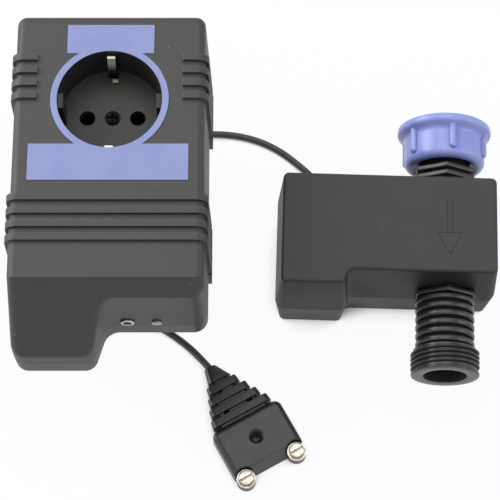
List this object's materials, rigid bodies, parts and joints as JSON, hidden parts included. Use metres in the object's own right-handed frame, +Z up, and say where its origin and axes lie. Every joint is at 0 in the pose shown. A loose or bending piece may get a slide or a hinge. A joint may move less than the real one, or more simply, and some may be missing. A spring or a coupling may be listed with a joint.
{
  "type": "water leak detector",
  "caption": "Plug-through mains unit with a socket well and blue label, a flat two-contact floor probe and a boxed water shut-off valve on thin cables.",
  "frame": {"origin": "on the resting surface, on the common axis of the plug below and the socket above", "axes": "+Z up, out of the socket; +Y towards the unit's upper end, away from the foot; +X towards the valve"},
  "size_m": [0.1861, 0.1908, 0.0849],
  "materials": {
    "housing": "fine matt moulded grain",
    "socket_insert": "smooth moulded",
    "probe_plastic": "smooth moulded",
    "valve_plastic": "fine matt moulded grain",
    "port_plastic": "semi-matt moulded",
    "label": "satin printed film",
    "nut_plastic": "semi-matt moulded",
    "nickel": "bright nickel plate",
    "steel": "plain zinc plate",
    "copper_alloy": "plain sheet",
    "led_lens": "tinted clear",
    "button_plastic": "smooth moulded",
    "board": "solder mask",
    "black_part": "smooth moulded",
    "relay_case": "smooth moulded",
    "core": "varnished laminations",
    "terminal_green": "smooth moulded",
    "fuse_glass": "clear",
    "winding": "taped winding",
    "cable": "smooth soft sheath",
    "seal": "moulded",
    "strainer": "moulded mesh"
  },
  "bodies": {
    "detector": {"front_housing": "housing", "rear_housing": "housing", "housing_screws": "steel", "plug_body": "housing", "plug_pin_left": "nickel", "plug_pin_right": "nickel", "plug_earth_strips": "nickel", "contact_left": "copper_alloy", "contact_right": "copper_alloy", "earth_strip": "nickel", "socket_screw": "nickel", "front_label": "label", "circuit_board": "board", "board_screws": "steel", "transformer": "core", "relay": "relay_case", "capacitor": "black_part", "buzzer": "black_part", "terminal_block": "terminal_green", "fuse": "fuse_glass", "fuse_clips": "copper_alloy", "controller": "black_part", "status_led": "led_lens", "led_bezel": "nickel", "button_ring": "nickel", "reset_switch": "black_part", "sensor_grommet": "seal", "valve_grommet": "seal", "sensor_cable_root": "cable", "sensor_cable": "cable", "sensor_cable_coil": "cable", "valve_cable_root": "cable", "valve_cable": "cable", "valve_cable_coil": "cable", "probe_body": "probe_plastic", "contact_washers": "nickel", "contact_screws": "nickel", "valve_cover": "valve_plastic", "valve_base": "valve_plastic", "box_screws": "steel", "valve_gland": "seal", "valve_body": "port_plastic", "inlet_washer": "seal", "inlet_strainer": "strainer", "diaphragm": "seal", "valve_bonnet": "port_plastic", "plunger_spring": "steel", "solenoid_coil": "winding", "coil_yoke": "steel", "valve_junction": "black_part"},
    "button": {"reset_button": "button_plastic"},
    "nut": {"union_nut": "nut_plastic"},
    "armature": {"plunger": "steel"}
  },
  "joints": [
    {"name": "reset_press", "type": "slide", "parent": "detector", "child": "button", "axis": [0, 1, 0], "range_m": [0, 0.0008], "stiffness_N_per_m": 500},
    {"name": "nut_spin", "type": "hinge", "parent": "detector", "child": "nut", "pos_m": [0.12575, -0.0885, 0.024], "axis": [0.0318, 0.9995, 0], "continuous": true},
    {"name": "plunger_lift", "type": "slide", "parent": "detector", "child": "armature", "axis": [-0.9995, 0.0318, 0], "range_m": [0, 0.002], "stiffness_N_per_m": 400, "deforming": ["plunger_spring"]}
  ]
}
